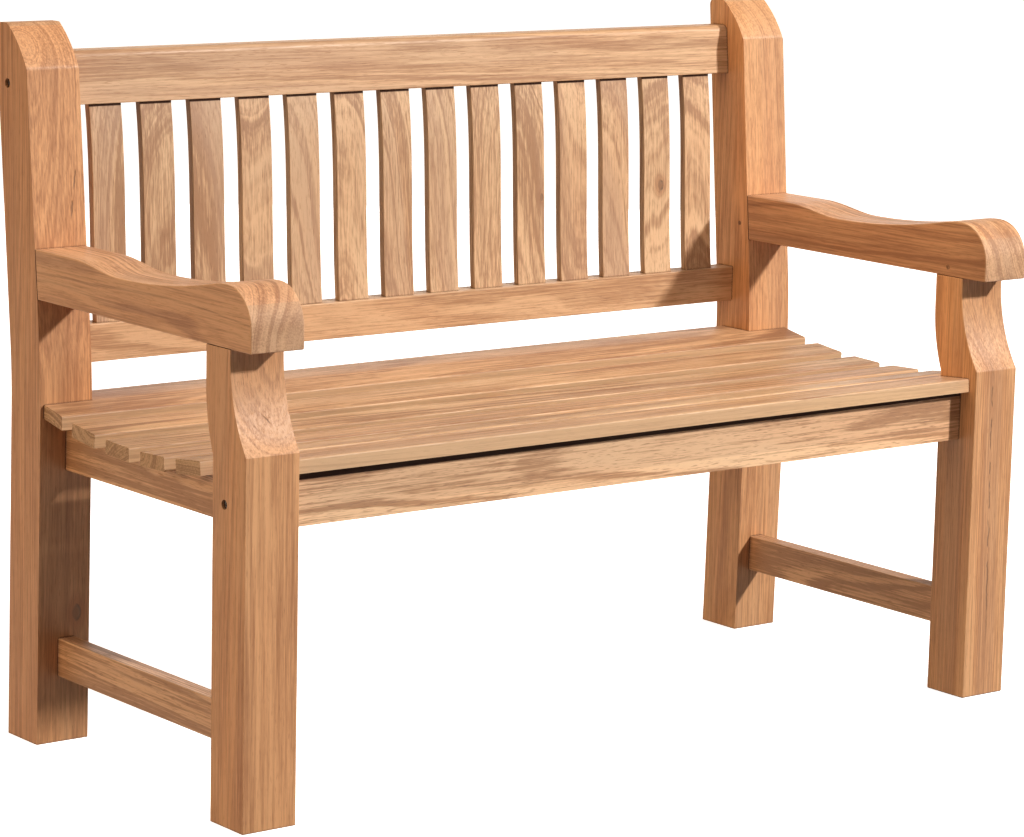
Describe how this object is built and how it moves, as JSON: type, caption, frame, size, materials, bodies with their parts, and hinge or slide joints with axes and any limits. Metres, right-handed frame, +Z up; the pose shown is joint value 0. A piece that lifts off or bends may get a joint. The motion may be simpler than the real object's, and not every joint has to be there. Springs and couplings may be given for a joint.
{
  "type": "garden bench",
  "caption": "Two-seat teak garden bench with a dished slatted seat, an upright slatted back, scooped front legs and round-nosed arms.",
  "frame": {"origin": "on the floor, at the middle of the bench's length and depth", "axes": "+Z up, +X along the bench to a viewer's right as they face its front, -Y out of its front"},
  "size_m": [1.25, 0.5822, 0.915],
  "materials": {
    "teak_legs": "planed, unfinished",
    "teak_arms": "planed, unfinished",
    "teak_back_rails": "planed, unfinished",
    "teak_back_slats": "planed, unfinished",
    "teak_seat_slats": "planed, unfinished",
    "teak_seat_frame": "planed, unfinished",
    "bolt_steel": "satin stainless",
    "teak_pins": "end grain"
  },
  "bodies": {
    "root": {"leg_front_left": "teak_legs", "leg_front_right": "teak_legs", "leg_back_left": "teak_legs", "leg_back_right": "teak_legs", "arm_left": "teak_arms", "arm_right": "teak_arms", "rail_back_top": "teak_back_rails", "rail_back_lower": "teak_back_rails", "back_slat_01": "teak_back_slats", "back_slat_02": "teak_back_slats", "back_slat_03": "teak_back_slats", "back_slat_04": "teak_back_slats", "back_slat_05": "teak_back_slats", "back_slat_06": "teak_back_slats", "back_slat_07": "teak_back_slats", "back_slat_08": "teak_back_slats", "back_slat_09": "teak_back_slats", "back_slat_10": "teak_back_slats", "back_slat_11": "teak_back_slats", "back_slat_12": "teak_back_slats", "back_slat_13": "teak_back_slats", "back_slat_14": "teak_back_slats", "seat_slat_front": "teak_seat_slats", "seat_slat_2": "teak_seat_slats", "seat_slat_3": "teak_seat_slats", "seat_slat_4": "teak_seat_slats", "seat_slat_5": "teak_seat_slats", "seat_slat_rear": "teak_seat_slats", "rail_seat_front": "teak_seat_frame", "rail_seat_rear": "teak_seat_frame", "rail_seat_left": "teak_seat_frame", "rail_seat_right": "teak_seat_frame", "seat_bearer": "teak_seat_frame", "stretcher_left": "teak_seat_frame", "stretcher_right": "teak_seat_frame", "bolts": "bolt_steel", "barrel_nuts": "bolt_steel", "joint_pins": "teak_pins", "slat_dowels": "teak_pins"}
  },
  "joints": []
}
